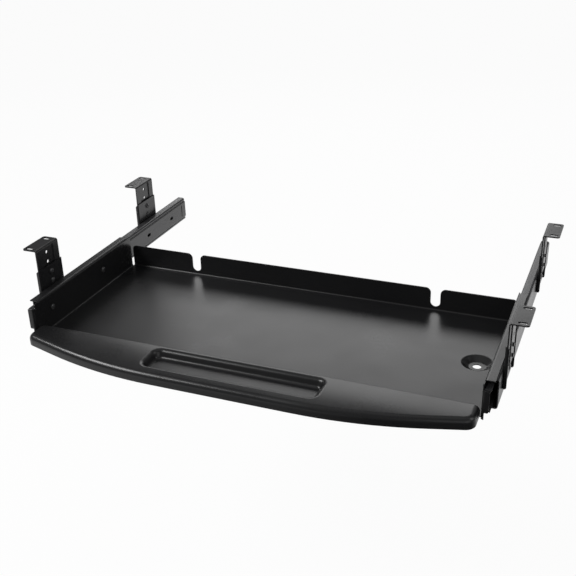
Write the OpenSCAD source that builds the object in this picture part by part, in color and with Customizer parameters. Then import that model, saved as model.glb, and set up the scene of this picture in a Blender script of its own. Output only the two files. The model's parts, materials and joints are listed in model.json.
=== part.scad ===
// Steel keyboard tray that hangs under a desk on two ball-bearing slides.
// The origin is on the underside of the desk, midway between the four brackets.
// X runs to the right, Y to the rear and Z up. The tray is drawn closed and opens along -Y.

/* [Tray] */
// Width between the side walls
tray_w = 540; // [480:1:620]
// Depth of the floor, from the rear wall to the front wall under the palm rest
floor_d = 220; // [200:1:260]
// Height of the side walls, floor to the top of their flanges
side_h = 45; // [44.5:0.5:50]
// Height of the rear wall above the floor
rear_h = 29.6; // [20:0.2:40]
// Thickness of the tray's sheet steel
sheet = 1.2; // [0.8:0.1:1.6]
// Inside radius of the folds
bend_r = 2; // [1:0.25:3]
// Reach of the top flange past the inner face of the side wall
top_flange = 11; // [8:0.2:11.6]
// Gap from the rear wall to the rear end of a top flange
flange_back = 11; // [4:1:20]
// Gap from the front of a side wall to the front end of its top flange
flange_lead = 7.5; // [4:0.5:14]
// Gap between two folds of the sheet where they come near each other
slit = 0.4; // [0.2:0.1:4]
// Gap from a side wall to the end of the rear wall
rear_gap = 1.6; // [1:0.2:10]
// Radius of the rear wall's top corners
rear_corner_r = 5; // [2:0.5:10]

/* [Cable notches] */
// Distance of each notch from the middle of the rear wall
notch_x = 168; // [60:1:220]
// Width of a notch
notch_w = 12.4; // [8:0.2:20]
// Height of a notch's lowest point above the floor
notch_floor = 4.7; // [4:0.1:8]
// Radius that opens the top of a notch
notch_lip_r = 7; // [3:0.5:10]

/* [Front flanges] */
// Distance from the front wall to the start of the fold at the front of a side wall
front_run = 6.5; // [2:0.5:12]
// Reach of a front flange past its fold
flange_out = 4.5; // [3:0.5:8]
// Inside radius of the fold to a front flange
front_bend_r = 2; // [1.5:0.1:4]
// Height of a front flange's lower edge above the floor
front_low = 12.4; // [8:0.2:20]
// Height of a front flange's top edge above the floor
front_top = 38; // [32:0.2:39]
// Height of the free lower edge of a side wall, ahead of its fold to the floor
free_edge = 4; // [3:0.2:7]
// Radius of the relief above the front fold, and of the sheet's corners beside it
relief_r = 1.6; // [1:0.1:2]

/* [Palm rest] */
// Height of the palm rest above the floor
palm_h = 16; // [13:0.5:24]
// Depth of the palm rest, from the front wall's inner face to its front
palm_d = 63.5; // [58:0.5:80]
// Gap from each side wall to the end of the palm rest
palm_gap = 1.5; // [1:0.1:8]
// Length of the straight part of the front edge
front_straight = 167; // [150:1:180]
// Sideways run of the curve where the front edge starts to sweep back
sweep_x = 140; // [120:0.5:142]
// Depth that this curve falls back
sweep_y = 20; // [14:0.1:21]
// Radius of the front corners
corner_r = 12.5; // [11:0.5:14]
// Depth of the skirt below the top of the palm rest
skirt_h = 12.3; // [10:0.1:13.5]
// Radius of the rounded edge between palm rest and skirt
edge_r = 6.5; // [4:0.1:7]

/* [Pen trough] */
// Length of the trough at its rim
trough_l = 216; // [160:1:222]
// Width of the trough at its rim
trough_w = 44.5; // [40:0.5:45]
// Distance from the front wall's inner face to the trough's rim
trough_back = 4.8; // [4.4:0.1:8]
// Depth of the trough
trough_depth = 9.2; // [7:0.1:9.6]
// Corner radius of the trough's rim
trough_corner_r = 13; // [12.5:0.5:16]
// Slope of the trough's sides
trough_side = 66; // [60:0.5:72]
// Radius of the trough's rim and foot, in the middle of the sheet
trough_press_r = 5; // [3:0.1:5.2]

/* [Accessory hole] */
// Distance of the hole from the right side wall
dimple_in = 26; // [24:0.5:120]
// Distance of the hole from the rear wall
dimple_y = 112; // [60:1:160]
// Diameter of the drawn dimple around the hole
dimple_d = 38; // [34:0.5:42]
// Depth of the dimple
dimple_depth = 5; // [4:0.1:5.5]
// Slope of the dimple's side
dimple_side = 33; // [30:0.5:45]
// Radius of the dimple's rim and foot, in the middle of the sheet
dimple_press_r = 4; // [2:0.1:5]
// Diameter of the hole
hole_d = 10; // [6:0.5:12]

/* [Slides] */
// Thickness of a closed slide
slide_t = 12.7; // [12.2:0.1:14]
// Height of a slide
slide_h = 35; // [34:0.5:36]
// Height of the slide's middle above the tray floor
slide_z = 25; // [24:0.1:25.4]
// Thickness of the rails' sheet steel
rail_sheet = 1.2; // [1:0.1:1.4]
// Length of an outer rail
outer_len = 376; // [340:1:420]
// Distance from the rear wall to the rear end of the rails
rail_back = 165; // [150:1:190]
// Corner radius of an outer rail
outer_r = 3; // [2:0.2:3.6]
// Corner radius of a drawer rail
drawer_r = 2; // [1.4:0.1:2.4]
// Gap from the side wall to the outer rail's inner lips
lip_gap = 1; // [0.6:0.1:1.4]
// Height of the outer rail's inner lips
lip_h = 3.9; // [3.4:0.1:4.1]
// Height of a drawer rail
drawer_h = 26; // [25.6:0.1:26.4]
// Reach of the drawer rail's flanges from its face
drawer_reach = 7.6; // [7.2:0.1:7.8]
// Diameter of the balls
ball_d = 3.7; // [3.6:0.05:3.8]
// Clearance around a ball in its track and in its cage
ball_clear = 0.15; // [0.1:0.01:0.2]
// Balls in each row
ball_count = 6; // [3:1:6]
// Distance between balls
ball_pitch = 18; // [12:0.5:18]
// Distance of the ball cage's middle from the rear wall, with the tray closed
cage_y = 23; // [10:1:40]
// Cage length past the last ball at each end
cage_end = 10; // [6:0.5:14]
// Thickness of the ball cage
cage_sheet = 0.6; // [0.4:0.1:0.8]

/* [Drawer rail cuts] */
// Length of a mounting slot in the drawer rail
rail_slot_l = 9; // [6:0.5:12]
// Width of a mounting slot in the drawer rail
rail_slot_w = 4.5; // [3:0.1:6]
// Distance of the front mounting slot behind the rear wall
rail_slot_1 = 51; // [30:1:80]
// Distance of the rear mounting slot behind the rear wall
rail_slot_2 = 120; // [90:1:135]
// Distance of the upright stop slot ahead of the rail's rear end
stop_slot_in = 12; // [6:0.5:18]
// Length of the stop slot
stop_slot_l = 18.6; // [12:0.2:20]
// Width of the stop slot
stop_slot_w = 2; // [1.4:0.1:3]

/* [Brackets] */
// Distance from the desk down to the tray floor
floor_drop = 96.4; // [92:0.2:104]
// Distance from the middle of the brackets back to the tray's rear wall
tray_back = 46.3; // [40:0.1:60]
// Distance between the front and rear brackets
bracket_spacing = 240; // [200:1:260]
// Width of a desk bracket
bracket_w = 45; // [42:0.5:50]
// Thickness of the brackets' sheet steel
bracket_sheet = 1.5; // [1.2:0.1:2]
// Inside radius of the brackets' folds
bracket_bend_r = 1; // [0.6:0.1:1.6]
// Reach of the desk flange from the upright plate's inner face
desk_flange = 20.1; // [18:0.1:26]
// Corner radius of the desk flange
desk_corner_r = 3.4; // [1:0.2:5]
// Length of a desk bracket below the desk
desk_plate_h = 55; // [54.5:0.5:64]
// Width of the recessed band in the upright plate
band_w = 22; // [16:0.5:26]
// Depth of the recessed band
band_d = 1.2; // [0.6:0.1:1.4]

/* [Desk slots] */
// Distance of a slot's middle from the upright plate's inner face
slot_out = 12.5; // [11.5:0.1:13]
// Distance between the two slots of a bracket
slot_spacing = 34; // [28:0.5:36]
// Overall length of a slot
slot_l = 10; // [7:0.5:11]
// Width of a slot
slot_w = 4.6; // [3.6:0.1:5.4]

/* [Drop brackets] */
// Clearance between a desk bracket's edge and the drop bracket around it
nest_clear = 0.25; // [0.1:0.05:0.5]
// Depth of a drop bracket's side flanges
channel_d = 4.3; // [4:0.1:7]
// Height of a drop bracket's top edge above the tray floor
drop_top = 70; // [68:0.5:74]
// Height of a drop bracket's lower end above the tray floor
drop_low = 20; // [14:0.2:21]
// Chamfer at the top of the side flanges
channel_chamfer = 2.8; // [2:0.1:5]
// Radius of the lower corners of the side flanges
channel_r = 2; // [1:0.1:2.4]

/* [Fasteners] */
// Height of the lower height screw above the tray floor
height_screw_z = 48.4; // [48:0.1:49]
// Distance between the height screws, and between the holes of the row
height_pitch = 12.7; // [12:0.1:14]
// Diameter of a height screw's shank
height_screw_d = 4.4; // [3.6:0.1:5]
// Diameter of a height screw's head
height_head_d = 7; // [6:0.1:7.2]
// Depth of a height screw's head
height_head_h = 2; // [1.4:0.1:2.2]
// Length of a height screw under its head
height_screw_l = 6; // [5:0.1:8]
// Holes in the row of a desk bracket
height_holes = 4; // [2:1:4]
// Clearance around a screw's shank
screw_clear = 0.05; // [0.02:0.01:0.2]
// Diameter of a tray screw's shank
tray_screw_d = 4; // [3:0.1:5]
// Diameter of a tray screw's head
tray_head_d = 7.4; // [6:0.1:9]
// Depth of a tray screw's head
tray_head_h = 2.2; // [1.6:0.1:3]
// Length of a tray screw under its head
tray_screw_l = 5; // [3.5:0.1:6]
// Distance of the rear tray screw ahead of the rear wall
tray_screw_1 = 76; // [40:1:90]
// Distance of the front tray screw ahead of the rear wall
tray_screw_2 = 192; // [120:1:196]
// Diameter of a rail rivet's shank
rivet_d = 4; // [3:0.1:5]
// Diameter of a rail rivet's head
rivet_head_d = 7; // [6:0.1:8]
// Depth of a rail rivet's head
rivet_head_h = 1.5; // [1:0.1:2]
// Distance between the two rivets of a bracket
rivet_spacing = 22; // [12:0.5:28]
// Height of the rivets above the tray floor
rivet_z = 27; // [25:0.2:30]

/* [Hidden] */
$fn = 48;
black = [0.09, 0.09, 0.1];
screw_black = [0.13, 0.13, 0.14];
steel = [0.72, 0.73, 0.75];
cut = 0.5;
half_w = tray_w / 2;
wall_out = half_w + sheet;
fold_r = bend_r + sheet;
corner_in = bend_r + slit;
palm_x = half_w - palm_gap;
dimple_x = half_w - dimple_in;
trough_y = -trough_back - trough_w / 2;
front_tangent = -floor_d - front_run;
flange_front = front_tangent + flange_lead;
web_in = wall_out + slide_t;
plate_in = web_in + bracket_sheet;
web_mid = slide_t - rail_sheet / 2;
track_x = (lip_gap + 2 * rail_sheet + drawer_reach + slide_t - web_mid) / 2;
track_z = (slide_h / 2 - rail_sheet + drawer_h / 2) / 2;
track_r = ball_d / 2 + ball_clear;
cage_back = (drawer_reach + slide_t - rail_sheet + cage_sheet) / 2;
cage_front = track_x - track_r - cage_sheet / 6;
cage_top = track_z + cage_sheet / 2;
cage_len = (ball_count - 1) * ball_pitch + 2 * cage_end;
channel_w = bracket_w + 2 * (nest_clear + bracket_sheet);
bracket_fold = bracket_sheet + bracket_bend_r;
channel_fold = bracket_sheet + nest_clear;
lip_inset = 3;
foot_lap = 1;
arc_steps = 8;
dome_share = 0.7;
recess_share = 0.62;
bracket_ys = [-bracket_spacing / 2, bracket_spacing / 2];
screw_zs = [height_screw_z, height_screw_z + height_pitch];
rivet_ys = [-rivet_spacing / 2, rivet_spacing / 2];

// Placing and sweeping

// The tray's own frame: floor top at Z = 0, inner face of the rear wall at Y = 0
module tray_frame() {
    translate([0, tray_back, -floor_drop]) children();
}

module on_side(side) {
    if (side > 0) children();
    else mirror([1, 0, 0]) children();
}

// Extrudes an X-Z outline along Y
module along_y(y0, y1) {
    translate([0, y1, 0]) rotate([90, 0, 0]) linear_extrude(y1 - y0) children();
}

// Extrudes a Y-Z outline along X
module along_x(x0, x1) {
    translate([x0, 0, 0]) rotate([90, 0, 90]) linear_extrude(x1 - x0) children();
}

// Straight stretch of a rim: the outline's X points outwards, to the right of the heading
module run(from, heading, length) {
    translate(from) rotate([0, 0, heading]) rotate([90, 0, 90])
        linear_extrude(length) mirror([1, 0]) children();
}

// Curved stretch of a rim, turning left around its centre
module turn(centre, radius, h0, h1) {
    translate(centre) intersection() {
        rotate_extrude() translate([radius, 0]) children();
        translate([0, 0, -radius]) linear_extrude(2 * radius) wedge(3 * radius, h0 - 90, h1 - 90);
    }
}

// Flat outlines

module wedge(reach, a0, a1) {
    polygon(concat([[0, 0]], arc([0, 0], reach, a0, a1)));
}

module ring_sector(r_in, r_out, a0, a1) {
    intersection() {
        difference() {
            circle(r_out);
            circle(r_in);
        }
        wedge(3 * r_out, a0, a1);
    }
}

module box2(x0, y0, x1, y1) {
    translate([x0, y0]) square([x1 - x0, y1 - y0]);
}

module rounded(x0, y0, x1, y1, r) {
    box2(x0 + r, y0, x1 - r, y1);
    box2(x0, y0 + r, x1, y1 - r);
    for (x = [x0 + r, x1 - r], y = [y0 + r, y1 - r]) translate([x, y]) circle(r);
}

module slot2(length, width) {
    box2(-(length - width) / 2, -width / 2, (length - width) / 2, width / 2);
    for (x = [-1, 1]) translate([x * (length - width) / 2, 0]) circle(d = width);
}

// Pressed step in the sheet: the high level ends at X = 0, the low level starts at -step_run.
// Its low end reaches a little further, into the flat that it joins.
function step_run(depth, slope, r) = 2 * r * sin(slope) + (depth - 2 * r * (1 - cos(slope))) / tan(slope);

function arc(centre, r, a0, a1) =
    [for (i = [0:arc_steps]) let (a = a0 + (a1 - a0) * i / arc_steps) centre + r * [cos(a), sin(a)]];

module step_band(depth, slope, r) {
    r_in = r - sheet / 2;
    r_out = r + sheet / 2;
    rim = [0, -r_out];
    foot = [-step_run(depth, slope, r), -depth + r_in];
    polygon(concat(
        arc(rim, r_out, 90, 90 + slope),
        arc(foot, r_in, -90 + slope, -90),
        [foot + [-foot_lap, -r_in], foot + [-foot_lap, -r_out]],
        arc(foot, r_out, -90, -90 + slope),
        arc(rim, r_in, 90 + slope, 90)
    ));
}

// Tray pan: one sheet, drawn as a node for each of its panels, which meet where a fold or a pressing starts

// Right side wall, with its fold to the floor, its top flange and its front flange
module side_sheet() {
    top_bend = side_h - fold_r;
    low_front = corner_in - floor_d;
    front_fold = front_bend_r + sheet;
    corner_h = side_h - sheet;
    along_y(low_front, -corner_in)
        translate([half_w - bend_r, bend_r]) ring_sector(bend_r, fold_r, -90, 0);
    along_x(half_w, wall_out) difference() {
        union() {
            box2(low_front, bend_r, -corner_in, top_bend);
            box2(front_tangent, free_edge, low_front, top_bend);
            box2(front_tangent, free_edge, flange_front - slit, corner_h - relief_r);
            box2(front_tangent + relief_r, free_edge, flange_front - slit, corner_h);
            translate([front_tangent + relief_r, corner_h - relief_r]) circle(relief_r);
        }
        translate([front_tangent, front_top + relief_r]) circle(relief_r);
    }
    along_y(flange_front, -flange_back) {
        translate([wall_out + bend_r, top_bend]) ring_sector(bend_r, fold_r, 90, 180);
        box2(wall_out + bend_r, side_h - sheet, half_w + top_flange, side_h);
    }
    translate([wall_out + front_bend_r, front_tangent, 0]) {
        translate([0, 0, free_edge]) linear_extrude(front_top - free_edge)
            ring_sector(front_bend_r, front_fold, 180, 270);
        along_y(-front_fold, -front_bend_r) difference() {
            box2(0, front_low, flange_out, front_top);
            translate([flange_out - relief_r, front_low + relief_r]) difference() {
                box2(0, -relief_r - cut, relief_r + cut, 0);
                circle(relief_r);
            }
        }
    }
}

module side_wall(side) {
    color(black) tray_frame() on_side(side) difference() {
        side_sheet();
        for (y = [tray_screw_1, tray_screw_2])
            translate([half_w - cut, -y, slide_z]) rotate([0, 90, 0])
                cylinder(d = tray_screw_d + 2 * screw_clear, h = sheet + 2 * cut);
    }
}

module rear_wall() {
    end_x = half_w - rear_gap;
    color(black) tray_frame() {
        along_x(-end_x, end_x) translate([-bend_r, bend_r]) ring_sector(bend_r, fold_r, -90, 0);
        along_y(0, sheet) difference() {
            union() {
                box2(-end_x, bend_r, end_x, rear_h - rear_corner_r);
                box2(-end_x + rear_corner_r, bend_r, end_x - rear_corner_r, rear_h);
                for (s = [-1, 1]) translate([s * (end_x - rear_corner_r), rear_h - rear_corner_r])
                    circle(rear_corner_r);
            }
            for (s = [-1, 1]) translate([s * notch_x, 0]) notch();
        }
    }
}

module notch() {
    translate([0, notch_floor + notch_w / 2]) circle(d = notch_w);
    box2(-notch_w / 2, notch_floor + notch_w / 2, notch_w / 2, rear_h + cut);
    for (s = [0, 1]) mirror([s, 0]) difference() {
        box2(0, rear_h - notch_lip_r, notch_w / 2 + notch_lip_r, rear_h + cut);
        translate([notch_w / 2 + notch_lip_r, rear_h - notch_lip_r]) circle(notch_lip_r);
    }
}

module tray_floor() {
    color(black) tray_frame() translate([0, 0, -sheet]) linear_extrude(sheet) difference() {
        box2(-half_w + bend_r, -floor_d + bend_r, half_w - bend_r, -bend_r);
        translate([dimple_x, -dimple_y]) circle(d = dimple_d);
    }
}

// Drawn cup around the accessory hole
module accessory_dimple() {
    foot_r = dimple_d / 2 - step_run(dimple_depth, dimple_side, dimple_press_r);
    color(black) tray_frame() translate([dimple_x, -dimple_y, 0]) {
        rotate_extrude() translate([dimple_d / 2, 0]) step_band(dimple_depth, dimple_side, dimple_press_r);
        translate([0, 0, -dimple_depth - sheet]) linear_extrude(sheet) difference() {
            circle(foot_r);
            circle(d = hole_d);
        }
    }
}

// Low wall that lifts the palm rest above the floor
module front_wall() {
    top_bend = palm_h - fold_r;
    color(black) tray_frame() along_x(edge_r - palm_x, palm_x - edge_r) translate([-floor_d, 0]) {
        translate([bend_r, bend_r]) ring_sector(bend_r, fold_r, 180, 270);
        box2(-sheet, bend_r, 0, top_bend);
        translate([-fold_r, top_bend]) ring_sector(bend_r, fold_r, 0, 90);
    }
}

// Rolled rim of the palm rest: flat lip, rounded edge and skirt
module rim_outline() {
    box2(-edge_r - lip_inset, -sheet, -edge_r, 0);
    translate([-edge_r, -edge_r]) ring_sector(edge_r - sheet, edge_r, 0, 90);
    box2(-sheet, -skirt_h, 0, -edge_r);
}

// Front edge of the palm rest, from the middle to the right end
sweep_r = (sweep_x * sweep_x + sweep_y * sweep_y) / (2 * sweep_y);
sweep_angle = asin(sweep_x / sweep_r);
sweep_start = [front_straight / 2, -palm_d];
sweep_centre = sweep_start + [0, sweep_r];
sweep_end = sweep_start + [sweep_x, sweep_y];
swept_len = (palm_x - sweep_end.x - corner_r * (1 - sin(sweep_angle))) / cos(sweep_angle);
swept_end = sweep_end + swept_len * [cos(sweep_angle), sin(sweep_angle)];
corner_centre = swept_end + corner_r * [-sin(sweep_angle), cos(sweep_angle)];

module half_rim() {
    turn(sweep_centre, sweep_r, 0, sweep_angle) rim_outline();
    run(sweep_end, sweep_angle, swept_len) rim_outline();
    turn(corner_centre, corner_r, sweep_angle, 90) rim_outline();
    run([palm_x, corner_centre.y], 90, -corner_centre.y - fold_r) rim_outline();
}

// Half of the palm rest's flat, taken to the middle of the rim's lip
module half_flat() {
    inset = edge_r + lip_inset / 2;
    polygon(concat(
        [[0, -fold_r], [0, -palm_d + inset]],
        arc(sweep_centre, sweep_r - inset, -90, sweep_angle - 90),
        arc(corner_centre, corner_r - inset, sweep_angle - 90, 0),
        [[palm_x - inset, -fold_r]]
    ));
}

module trough_side_band() {
    step_band(trough_depth, trough_side, trough_press_r);
}

module pen_trough() {
    foot = step_run(trough_depth, trough_side, trough_press_r);
    dx = trough_l / 2 - trough_corner_r;
    dy = trough_w / 2 - trough_corner_r;
    color(black) tray_frame() translate([0, trough_y - floor_d, palm_h]) {
        for (q = [0:3]) {
            across = q % 2 == 0 ? dx : dy;
            out = q % 2 == 0 ? trough_w / 2 : trough_l / 2;
            rotate([0, 0, 90 * q]) {
                run([-across, -out], 0, 2 * across) trough_side_band();
                turn([across, -out + trough_corner_r], trough_corner_r, 0, 90) trough_side_band();
            }
        }
        translate([0, 0, -trough_depth - sheet]) linear_extrude(sheet)
            rounded(-trough_l / 2 + foot, -trough_w / 2 + foot, trough_l / 2 - foot, trough_w / 2 - foot,
                trough_corner_r - foot);
    }
}

module palm_rest() {
    color(black) tray_frame() translate([0, -floor_d, palm_h]) {
        run([-front_straight / 2, -palm_d], 0, front_straight) rim_outline();
        half_rim();
        mirror([1, 0, 0]) half_rim();
        translate([0, 0, -sheet]) linear_extrude(sheet) difference() {
            union() {
                half_flat();
                mirror([1, 0]) half_flat();
            }
            translate([0, trough_y])
                rounded(-trough_l / 2, -trough_w / 2, trough_l / 2, trough_w / 2, trough_corner_r);
        }
    }
}

// Slides

module outer_rail(side) {
    inner_r = outer_r - rail_sheet;
    color(black) tray_frame() on_side(side) difference() {
        along_y(rail_back - outer_len, rail_back) translate([wall_out, slide_z]) difference() {
            rounded(lip_gap, -slide_h / 2, slide_t, slide_h / 2, outer_r);
            rounded(lip_gap + rail_sheet, -slide_h / 2 + rail_sheet,
                slide_t - rail_sheet, slide_h / 2 - rail_sheet, inner_r);
            box2(lip_gap - cut, -slide_h / 2 + lip_h, lip_gap + rail_sheet + cut, slide_h / 2 - lip_h);
            for (s = [-1, 1]) translate([track_x, s * track_z]) circle(track_r);
        }
        rivet_holes();
    }
}

module drawer_rail(side) {
    inner_r = drawer_r - rail_sheet;
    color(black) tray_frame() on_side(side) difference() {
        along_y(front_tangent, rail_back) translate([wall_out, slide_z]) difference() {
            rounded(0, -drawer_h / 2, 2 * drawer_reach, drawer_h / 2, drawer_r);
            rounded(rail_sheet, -drawer_h / 2 + rail_sheet,
                2 * drawer_reach, drawer_h / 2 - rail_sheet, inner_r);
            box2(drawer_reach, -drawer_h, 3 * drawer_reach, drawer_h);
            for (s = [-1, 1]) translate([track_x, s * track_z]) circle(track_r);
        }
        along_x(wall_out - cut, wall_out + rail_sheet + cut) {
            for (y = [rail_slot_1, rail_slot_2]) translate([y, slide_z]) slot2(rail_slot_l, rail_slot_w);
            translate([rail_back - stop_slot_in, slide_z]) rotate(90) slot2(stop_slot_l, stop_slot_w);
            for (y = [tray_screw_1, tray_screw_2])
                translate([-y, slide_z]) circle(d = tray_screw_d + 2 * screw_clear);
        }
    }
}

module ball_cage(side) {
    hole_r = ball_d / 2 + ball_clear;
    color(steel) tray_frame() on_side(side) difference() {
        along_y(-cage_y - cage_len / 2, -cage_y + cage_len / 2) translate([wall_out, slide_z]) difference() {
            box2(cage_front, -cage_top, cage_back, cage_top);
            box2(cage_front - cut, -cage_top + cage_sheet, cage_back - cage_sheet, cage_top - cage_sheet);
        }
        ball_places() cylinder(r = hole_r, h = 4 * cage_sheet, center = true);
    }
}

module ball_places() {
    row = (ball_count - 1) * ball_pitch;
    for (s = [-1, 1], i = [0:ball_count - 1])
        translate([wall_out + track_x, -cage_y - row / 2 + i * ball_pitch, slide_z + s * track_z]) children();
}

module balls(side) {
    color(steel) tray_frame() on_side(side) ball_places() sphere(d = ball_d);
}

// Brackets

module rivet_holes() {
    for (y = bracket_ys, dy = rivet_ys)
        translate([web_in - rail_sheet - cut, y + dy - tray_back, rivet_z]) rotate([0, 90, 0])
            cylinder(d = rivet_d + 2 * screw_clear, h = rail_sheet + bracket_sheet + 2 * cut);
}

// C-shaped channel, open to the outside, that carries the rail and holds the desk bracket
module drop_bracket(side, y) {
    r_out = channel_fold;
    tip = web_in + channel_d;
    color(black) tray_frame() on_side(side) translate([0, y - tray_back, 0]) difference() {
        translate([0, 0, drop_low]) linear_extrude(drop_top - drop_low) {
            box2(web_in, -channel_w / 2 + r_out, plate_in, channel_w / 2 - r_out);
            for (s = [0, 1]) mirror([0, s]) {
                translate([web_in + r_out, channel_w / 2 - r_out])
                    ring_sector(nest_clear, r_out, 90, 180);
                box2(web_in + r_out, channel_w / 2 - bracket_sheet, tip, channel_w / 2);
            }
        }
        along_y(-channel_w, channel_w) {
            polygon([[plate_in, drop_top], [tip, drop_top - channel_chamfer],
                [tip + cut, drop_top - channel_chamfer], [tip + cut, drop_top + cut], [plate_in, drop_top + cut]]);
            translate([tip - channel_r, drop_low + channel_r]) difference() {
                box2(0, -channel_r - cut, channel_r + cut, 0);
                circle(channel_r);
            }
        }
        translate([0, tray_back - y, 0]) rivet_holes();
        for (z = screw_zs) translate([web_in - cut, 0, z]) rotate([0, 90, 0])
            cylinder(d = height_screw_d + 2 * screw_clear, h = bracket_sheet + 2 * cut);
    }
}

// Upright plate with a recessed band, folded outwards into a slotted flange under the desk
module desk_bracket(side, y) {
    half_b = bracket_w / 2;
    half_n = band_w / 2;
    plate = [[0, -half_b], [0, -half_n - band_d], [band_d, -half_n],
        [band_d, half_n], [0, half_n + band_d], [0, half_b]];
    color(black) on_side(side) translate([plate_in, y, 0]) difference() {
        union() {
            translate([0, 0, -desk_plate_h]) linear_extrude(desk_plate_h - bracket_fold)
                polygon(concat(plate, [for (i = [5:-1:0]) plate[i] + [bracket_sheet, 0]]));
            along_y(-half_b, half_b) translate([bracket_fold, -bracket_fold])
                ring_sector(bracket_bend_r, bracket_fold, 90, 180);
            translate([band_d, -half_n, -bracket_fold - cut])
                cube([bracket_sheet, band_w, bracket_fold + cut - bracket_sheet / 2]);
            translate([0, 0, -bracket_sheet]) linear_extrude(bracket_sheet) difference() {
                intersection() {
                    rounded(-desk_flange, -half_b, desk_flange, half_b, desk_corner_r);
                    box2(bracket_fold, -half_b, desk_flange, half_b);
                }
                for (s = [-1, 1]) translate([slot_out, s * slot_spacing / 2]) slot2(slot_l, slot_w);
            }
        }
        for (i = [0:height_holes - 1])
            translate([-cut, 0, height_screw_z + i * height_pitch - floor_drop]) rotate([0, 90, 0])
                cylinder(d = height_screw_d + 2 * screw_clear, h = band_d + bracket_sheet + 2 * cut);
    }
}

// Fasteners

// Domed head along +Z, standing on the origin
module dome_head(head_d, head_h) {
    rise = head_h * dome_share;
    dome_r = (head_d * head_d / 4 + rise * rise) / (2 * rise);
    rotate_extrude() intersection() {
        box2(0, 0, head_d / 2, head_h);
        translate([0, head_h - dome_r]) circle(dome_r);
    }
}

// Pan-head screw along +X, with the underside of its head at the origin
module pan_screw(head_d, head_h, shank_d, length) {
    recess_l = head_d * recess_share;
    recess_w = recess_l / 4;
    rotate([0, 90, 0]) cylinder(d = shank_d, h = length);
    difference() {
        rotate([0, -90, 0]) dome_head(head_d, head_h);
        for (a = [0, 90]) rotate([a, 0, 0]) translate([-head_h - cut, -recess_l / 2, -recess_w / 2])
            cube([cut + head_h / 2, recess_l, recess_w]);
    }
}

module tray_screws() {
    color(screw_black) tray_frame() for (s = [-1, 1], y = [tray_screw_1, tray_screw_2])
        on_side(s) translate([half_w, -y, slide_z])
            pan_screw(tray_head_d, tray_head_h, tray_screw_d, tray_screw_l);
}

module height_screws() {
    color(screw_black) tray_frame() for (s = [-1, 1], y = bracket_ys, z = screw_zs)
        on_side(s) translate([web_in, y - tray_back, z])
            pan_screw(height_head_d, height_head_h, height_screw_d, height_screw_l);
}

module rail_rivets() {
    shank = rail_sheet + bracket_sheet;
    color(screw_black) tray_frame() for (s = [-1, 1], y = bracket_ys, dy = rivet_ys)
        on_side(s) translate([plate_in, y + dy - tray_back, rivet_z]) {
            translate([-shank, 0, 0]) rotate([0, 90, 0]) cylinder(d = rivet_d, h = shank);
            rotate([0, 90, 0]) dome_head(rivet_head_d, rivet_head_h);
        }
}

tray_floor();
accessory_dimple();
rear_wall();
side_wall(-1);  // left_side_wall
side_wall(1);  // right_side_wall
front_wall();
palm_rest();
pen_trough();
tray_screws();
drawer_rail(-1);  // left_drawer_rail
drawer_rail(1);  // right_drawer_rail
outer_rail(-1);  // left_outer_rail
outer_rail(1);  // right_outer_rail
ball_cage(-1);  // left_ball_cage
ball_cage(1);  // right_ball_cage
balls(-1);  // left_balls
balls(1);  // right_balls
drop_bracket(-1, bracket_ys[0]);  // front_left_drop_bracket
drop_bracket(1, bracket_ys[0]);  // front_right_drop_bracket
drop_bracket(-1, bracket_ys[1]);  // rear_left_drop_bracket
drop_bracket(1, bracket_ys[1]);  // rear_right_drop_bracket
desk_bracket(-1, bracket_ys[0]);  // front_left_desk_bracket
desk_bracket(1, bracket_ys[0]);  // front_right_desk_bracket
desk_bracket(-1, bracket_ys[1]);  // rear_left_desk_bracket
desk_bracket(1, bracket_ys[1]);  // rear_right_desk_bracket
height_screws();
rail_rivets();
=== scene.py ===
import json
import math

import bpy
import numpy as np
from mathutils import Matrix, Vector

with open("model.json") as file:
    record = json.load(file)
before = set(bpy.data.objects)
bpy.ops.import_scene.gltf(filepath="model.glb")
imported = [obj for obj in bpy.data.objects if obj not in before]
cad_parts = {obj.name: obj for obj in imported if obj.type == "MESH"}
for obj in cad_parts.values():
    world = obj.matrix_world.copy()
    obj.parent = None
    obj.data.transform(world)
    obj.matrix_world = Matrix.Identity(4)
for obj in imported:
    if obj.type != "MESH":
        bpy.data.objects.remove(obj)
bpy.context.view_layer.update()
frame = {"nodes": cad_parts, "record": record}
scene = bpy.context.scene
nodes = frame["nodes"]
print("frame loaded with", len(nodes), "nodes")

# camera, from straight edges of the tray: place and aim in metres, roll in degrees
trayView = {
    "eye": (0.39025, -0.9706, 0.43785), "aim": (-0.0251, 0.02905, -0.0879), "roll": -1.6832,
    "lens": 57.04, "sensor": 36.0, "nearest": 0.01, "farthest": 50.0,
}


def placeCamera(view):
    forward = (Vector(view["aim"]) - Vector(view["eye"])).normalized()
    right = forward.cross(Vector((0, 0, 1))).normalized()
    up = right.cross(forward)
    roll = math.radians(view["roll"])
    across = right * math.cos(roll) + up * math.sin(roll)
    upright = up * math.cos(roll) - right * math.sin(roll)
    data = bpy.data.cameras.new("trayCamera")
    data.lens, data.sensor_width = view["lens"], view["sensor"]
    data.clip_start, data.clip_end = view["nearest"], view["farthest"]
    camera = bpy.data.objects.new("trayCamera", data)
    turn = Matrix((across, upright, -forward)).transposed().to_4x4()
    camera.matrix_world = Matrix.Translation(view["eye"]) @ turn
    scene.collection.objects.link(camera)
    scene.camera = camera


placeCamera(trayView)
print("camera placed")


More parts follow.
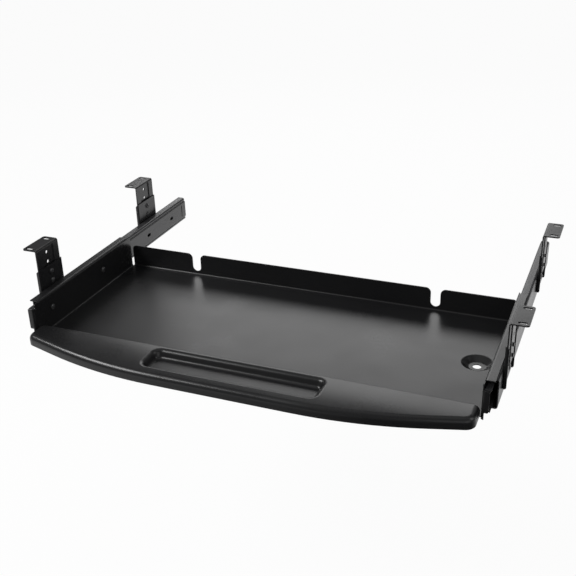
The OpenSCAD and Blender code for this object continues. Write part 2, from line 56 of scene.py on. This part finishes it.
class Wire:  # one shader socket; sums and products of wires add Math nodes
    def __init__(self, tree, socket):
        self.tree, self.socket = tree, socket

    def sum(self, operation, first, second):
        node = self.tree.nodes.new("ShaderNodeMath")
        node.operation = operation
        for place, value in enumerate((first, second)):
            if isinstance(value, Wire):
                self.tree.links.new(value.socket, node.inputs[place])
            else:
                node.inputs[place].default_value = value
        return Wire(self.tree, node.outputs[0])

    def __add__(self, other): return self.sum("ADD", self, other)
    def __radd__(self, other): return self.sum("ADD", other, self)
    def __sub__(self, other): return self.sum("SUBTRACT", self, other)
    def __rsub__(self, other): return self.sum("SUBTRACT", other, self)
    def __mul__(self, other): return self.sum("MULTIPLY", self, other)
    def __rmul__(self, other): return self.sum("MULTIPLY", other, self)
    def least(self, other): return self.sum("MINIMUM", self, other)
    def most(self, other): return self.sum("MAXIMUM", self, other)


class Patch:  # a node tree, and the one way that other nodes come into it
    def __init__(self, tree):
        self.tree = tree

    # any node: its type, its settings, then the values or wires of its sockets, by name or as i0, i1, i2
    def add(self, kind, settings=None, out=0, **sockets):
        node = self.tree.nodes.new(kind)
        for key, value in (settings or {}).items():
            setattr(node, key, value)
        for key, value in sockets.items():
            socket = node.inputs[int(key[1:]) if key[1:].isdigit() else key.replace("_", " ")]
            if isinstance(value, Wire):
                self.link(value, socket)
            else:
                socket.default_value = value
        return Wire(self.tree, node.outputs[out])

    def link(self, wire, socket):
        self.tree.links.new(wire.socket, socket)


class Finish(Patch):  # one material: a Principled shader and the nodes that feed it
    def __init__(self, name, **constants):
        self.material = bpy.data.materials.new(name)
        self.material.use_nodes = True
        super().__init__(self.material.node_tree)
        self.shader = self.tree.nodes["Principled BSDF"]
        for socket, value in constants.items():
            self.shader.inputs[socket.replace("_", " ")].default_value = value
        self.place = self.add("ShaderNodeTexCoord", out="Object")

    def axis(self, name):
        return self.add("ShaderNodeSeparateXYZ", out=name, Vector=self.place)

    # noise whose blobs are about size metres across
    def speckle(self, size, detail=2.0, stretch=None, roughness=0.55):
        spot = self.place
        if stretch:
            spot = self.add("ShaderNodeMapping", Vector=spot, Scale=stretch)
        return self.add("ShaderNodeTexNoise", Vector=spot, Scale=1 / size, Detail=detail, Roughness=roughness)

    # 0 below low, 1 above high, eased between
    def ease(self, value, low, high):
        return self.add("ShaderNodeMapRange", {"interpolation_type": "SMOOTHSTEP"},
                        Value=value, From_Min=low, From_Max=high)

    def blendColours(self, factor, first, second):
        return self.add("ShaderNodeMix", {"data_type": "RGBA"}, out=2,
                        i0=factor, i6=(*first, 1), i7=(*second, 1))

    def feed(self, socket, wire):
        self.link(wire, self.shader.inputs[socket])

    # fine relief, on top of a crown in metres where there is one
    def press(self, height, look, crown=None):
        under = {}
        if crown:
            under["Normal"] = self.add("ShaderNodeBump", Height=crown, Distance=1.0, Strength=1.0)
        self.feed("Normal", self.add("ShaderNodeBump", Height=height, Distance=look["depth"],
                                     Strength=look["strength"], **under))


# sizes and depths in metres; the words after a feature's name say what it changes
trayCoat = {
    "dark": (0.0085, 0.0085, 0.0092), "lit": (0.0125, 0.0125, 0.0132), "ior": 1.5,
    "rough": 0.3, "smoothest": 0.12, "roughest": 0.9,
    "peel": 0.0016, "peelHeight": 0.7,
    "grit": 0.0005, "gritHeight": 0.3, "gritShade": 0.4, "gritRough": 0.08,
    "cloud": 0.07, "cloudShade": 0.6, "cloudRough": 0.14,
    "pit": 0.0032, "pitFrom": 0.70, "pitFull": 0.78, "pitHeight": 0.8, "pitRough": 0.12,
    "depth": 0.00005, "strength": 0.32,
}
bracketCoat = dict(trayCoat, rough=0.33, peel=0.0013)
# lighter and smoother front of the palm rest: wrist wear, and a painted highlight on the rolled edge
palmWearAndHighlight = {"low": -0.0855, "high": -0.0822, "front": -0.225, "back": -0.185, "patch": 0.02,
           "shade": 0.5, "smooth": 0.05}
palmCrown = {"rear": -0.1769, "rise": 0.087, "fall": 1.88}


def wristWearAndHighlight(coat, wearAndHighlightSpec):  # the rolled front edge is a little smoother and lighter, where wrists rest: partly wrist wear, partly a painted highlight along the roll
    rise = coat.ease(coat.axis("Z"), wearAndHighlightSpec["low"], wearAndHighlightSpec["high"])
    near = 1.0 - coat.ease(coat.axis("Y"), wearAndHighlightSpec["front"], wearAndHighlightSpec["back"])
    return rise * near * coat.speckle(wearAndHighlightSpec["patch"], 3.0)


def palmSwell(coat, crown):  # height of the slight crown: rise times depth less fall times depth squared
    depth = crown["rear"] - coat.axis("Y")
    return depth * (crown["rise"] - depth * crown["fall"])


def powderCoat(name, look, wearAndHighlightSpec=None, crown=None):
    coat = Finish(name, IOR=look["ior"])
    peel = coat.speckle(look["peel"])  # orange-peel waves of the baked coat
    grit = coat.speckle(look["grit"], 1.0)
    cloud = coat.speckle(look["cloud"], 3.0)  # slow change of gloss over a panel
    pits = coat.ease(coat.speckle(look["pit"], 4.0), look["pitFrom"], look["pitFull"])  # a few pinholes
    relief = peel * look["peelHeight"] + grit * look["gritHeight"] - pits * look["pitHeight"]
    coat.press(relief, look, palmSwell(coat, crown) if crown else None)
    shade = cloud * look["cloudShade"] + grit * look["gritShade"]
    rough = look["rough"] + (cloud - 0.5) * look["cloudRough"] + (grit - 0.5) * look["gritRough"]
    rough = rough + pits * look["pitRough"]
    if wearAndHighlightSpec:
        wearAndHighlight = wristWearAndHighlight(coat, wearAndHighlightSpec)
        # lighter colour on the rolled front edge: wrist wear and a painted highlight
        shade = shade + wearAndHighlight * wearAndHighlightSpec["shade"]
        rough = rough - wearAndHighlight * wearAndHighlightSpec["smooth"]
    coat.feed("Base Color", coat.blendColours(shade.least(1.0), look["dark"], look["lit"]))
    coat.feed("Roughness", rough.least(look["roughest"]).most(look["smoothest"]))
    return coat.material


trayBlack = powderCoat("trayBlack", trayCoat)
palmBlack = powderCoat("palmBlack", trayCoat, palmWearAndHighlight, palmCrown)
bracketBlack = powderCoat("bracketBlack", bracketCoat)
print("powder coats mixed")

railLook = {
    "dark": (0.018, 0.018, 0.019), "lit": (0.046, 0.046, 0.049), "ior": 1.55, "rough": 0.34,
    "line": 0.0007, "lineRun": (1, 0.015, 1), "lineShade": 0.7, "lineRough": 0.16,
    "film": 0.03, "filmRun": (1, 0.3, 1), "filmShade": 0.3, "filmRough": 0.18,
    "bareFrom": 0.55, "bareFull": 0.75, "bareMetal": 0.25,
    "depth": 0.00003, "strength": 0.25,
}


def railPlating(look):
    coat = Finish("railBlack", IOR=look["ior"])
    drawn = coat.speckle(look["line"], 3.0, look["lineRun"])  # rolling lines run the length of a rail
    film = coat.speckle(look["film"], 3.0, look["filmRun"])
    shade = drawn * look["lineShade"] + film * look["filmShade"]
    bare = coat.ease(drawn, look["bareFrom"], look["bareFull"])
    coat.feed("Base Color", coat.blendColours(shade, look["dark"], look["lit"]))
    coat.feed("Roughness", look["rough"] + (drawn - 0.5) * look["lineRough"] + (film - 0.5) * look["filmRough"])
    coat.feed("Metallic", bare * look["bareMetal"])
    coat.press(drawn, look)
    return coat.material


railBlack = railPlating(railLook)

screwLook = {
    "dark": (0.016, 0.016, 0.017), "lit": (0.10, 0.10, 0.103), "ior": 1.6, "rough": 0.31,
    "grain": 0.0006, "grainShade": 0.4, "grainRough": 0.25,
    "blotch": 0.003, "blotchShade": 0.4, "bareFrom": 0.45, "bareFull": 0.7, "bareMetal": 0.5,
    "depth": 0.00003, "strength": 0.3,
}


def blackOxide(look):
    coat = Finish("fastenerBlack", IOR=look["ior"])
    grain = coat.speckle(look["grain"], 4.0)
    blotch = coat.speckle(look["blotch"], 3.0)
    shade = grain * look["grainShade"] + blotch * look["blotchShade"]
    bare = coat.ease(blotch, look["bareFrom"], look["bareFull"])  # worn through to the steel
    coat.feed("Base Color", coat.blendColours(shade, look["dark"], look["lit"]))
    coat.feed("Roughness", look["rough"] + (grain - 0.5) * look["grainRough"])
    coat.feed("Metallic", bare * look["bareMetal"])
    coat.press(grain, look)
    return coat.material


fastenerBlack = blackOxide(screwLook)

steelLook = {
    "dark": (0.50, 0.51, 0.53), "lit": (0.68, 0.69, 0.71), "rough": 0.22,
    "brush": 0.0004, "brushRun": (1, 0.06, 1), "brushRough": 0.18,
    "grease": 0.006, "greaseFrom": 0.45, "greaseFull": 0.65, "greaseRough": 0.15,
    "depth": 0.00002, "strength": 0.2,
}


def brightSteel(look):
    coat = Finish("bearingSteel", Metallic=1.0)
    brush = coat.speckle(look["brush"], 3.0, look["brushRun"])
    grease = coat.ease(coat.speckle(look["grease"], 3.0), look["greaseFrom"], look["greaseFull"])
    coat.feed("Base Color", coat.blendColours(brush, look["dark"], look["lit"]))
    coat.feed("Roughness", look["rough"] + (brush - 0.5) * look["brushRough"] + grease * look["greaseRough"])
    coat.press(brush, look)
    return coat.material


bearingSteel = brightSteel(steelLook)
print("metals mixed")

slotFinish = {"tray_black": trayBlack, "rail_black": railBlack, "bracket_black": bracketBlack,
              "fastener_black": fastenerBlack, "bearing_steel": bearingSteel}
for subpart in frame["record"]["subparts"]:
    node = nodes[subpart["node"]]
    node.data.materials.clear()
    finish = palmBlack if subpart["node"] == "palm_rest" else slotFinish[subpart["material_slot"]]
    node.data.materials.append(finish)
print("finishes given to", len(nodes), "nodes")

# studio: a pale floor far below, and a white room that is dimmer in mirrors than to the camera
studio = {
    "floor": -0.42, "reach": 30.0, "cells": 24, "white": (0.86, 0.86, 0.86, 1), "rough": 0.9, "seen": 0.95,
    "backEdge": (-0.3, 0.7), "leftEdge": (-0.25, 0.8), "leftShare": 0.75, "leastShare": 0.03,
    "fill": 0.30, "mirrored": 0.16,
}


def floorFinish(spec):
    sweep = Finish("studioWhite", Base_Color=spec["white"], Roughness=spec["rough"])
    seen = sweep.add("ShaderNodeLightPath", out="Is Camera Ray")
    mirrored = sweep.add("ShaderNodeLightPath", out="Is Glossy Ray")
    behind = sweep.ease(sweep.axis("Y"), *spec["backEdge"])  # mirrors see a dark floor in front, to the right
    left = sweep.ease(sweep.axis("X") * -1.0, *spec["leftEdge"]) * spec["leftShare"]
    share = seen + mirrored * (behind.most(left) + spec["leastShare"])
    glow = sweep.add("ShaderNodeEmission", Color=sweep.blendColours(share.least(1.0), (0, 0, 0), (1, 1, 1)))
    paint = Wire(sweep.tree, sweep.shader.outputs[0])
    top = sweep.add("ShaderNodeMixShader", i0=seen * spec["seen"] + mirrored, i1=paint, i2=glow)
    below = sweep.add("ShaderNodeNewGeometry", out="Backfacing")  # seen from below, the floor isn't there
    clear = sweep.add("ShaderNodeBsdfTransparent")
    oneSided = sweep.add("ShaderNodeMixShader", i0=below, i1=top, i2=clear)
    sweep.link(oneSided, sweep.tree.nodes["Material Output"].inputs["Surface"])
    return sweep.material


def buildFloor(spec):  # flat square grid at the floor's height
    cells = spec["cells"]
    row = cells + 1
    side = np.linspace(-spec["reach"], spec["reach"], row)
    x, y = np.meshgrid(side, side)
    points = np.stack([x, y, np.full_like(x, spec["floor"])], -1).reshape(-1, 3)
    corner = np.arange(cells * row).reshape(cells, row)[:, :cells].ravel()
    faces = np.stack([corner, corner + 1, corner + row + 1, corner + row], 1)
    mesh = bpy.data.meshes.new("studioFloor")
    mesh.from_pydata(points.tolist(), [], faces.tolist())
    mesh.materials.append(floorFinish(spec))
    floor = bpy.data.objects.new("studioFloor", mesh)
    scene.collection.objects.link(floor)


def whiteWorld(spec):
    world = bpy.data.worlds.new("studioWorld")
    scene.world = world
    world.use_nodes = True
    room = Patch(world.node_tree)
    sky = room.tree.nodes["Background"]
    sky.inputs["Color"].default_value = (1, 1, 1, 1)
    seen = room.add("ShaderNodeLightPath", out="Is Camera Ray")
    mirrored = room.add("ShaderNodeLightPath", out="Is Glossy Ray")
    strength = seen * (1.0 - spec["fill"]) + mirrored * (spec["mirrored"] - spec["fill"]) + spec["fill"]
    room.link(strength, sky.inputs["Strength"])


buildFloor(studio)
whiteWorld(studio)

# soft boxes: place, aim point, size in metres and power
softBoxes = {
    "backBox": {"at": (-0.55, 2.0, 1.0), "aim": (-0.05, 0.0, -0.08), "size": (1.5, 1.0), "watts": 9.4},
    "cornerBox": {"at": (-1.42, 2.05, 0.68), "aim": (-0.3, 0.12, 0.0), "size": (0.3, 0.2), "watts": 0.5},
    "rightBox": {"at": (1.9, 0.3, 1.3), "aim": (0.1, 0.0, -0.08), "size": (0.8, 1.2), "watts": 6.0},
    "leftBox": {"at": (-1.3, -0.78, 1.28), "aim": (-0.1, -0.24, -0.08), "size": (1.2, 0.5), "watts": 23.0},
    "frontBox": {"at": (1.65, -1.7, 0.9), "aim": (0.0, -0.1, -0.08), "size": (1.8, 0.9), "watts": 4.8},
    "topBox": {"at": (0.1, 0.0, 2.1), "aim": (0.0, 0.0, -0.08), "size": (1.6, 1.6), "watts": 2.2},
}


def hangLights(boxes):
    for name, spec in boxes.items():
        lamp = bpy.data.lights.new(name, "AREA")
        lamp.shape, lamp.energy = "RECTANGLE", spec["watts"]
        lamp.size, lamp.size_y = spec["size"]
        holder = bpy.data.objects.new(name, lamp)
        aim = Vector(spec["aim"]) - Vector(spec["at"])
        turn = aim.to_track_quat("-Z", "Y").to_matrix().to_4x4()
        holder.matrix_world = Matrix.Translation(spec["at"]) @ turn
        scene.collection.objects.link(holder)


hangLights(softBoxes)
scene.view_settings.view_transform = "Standard"
print("studio ready")
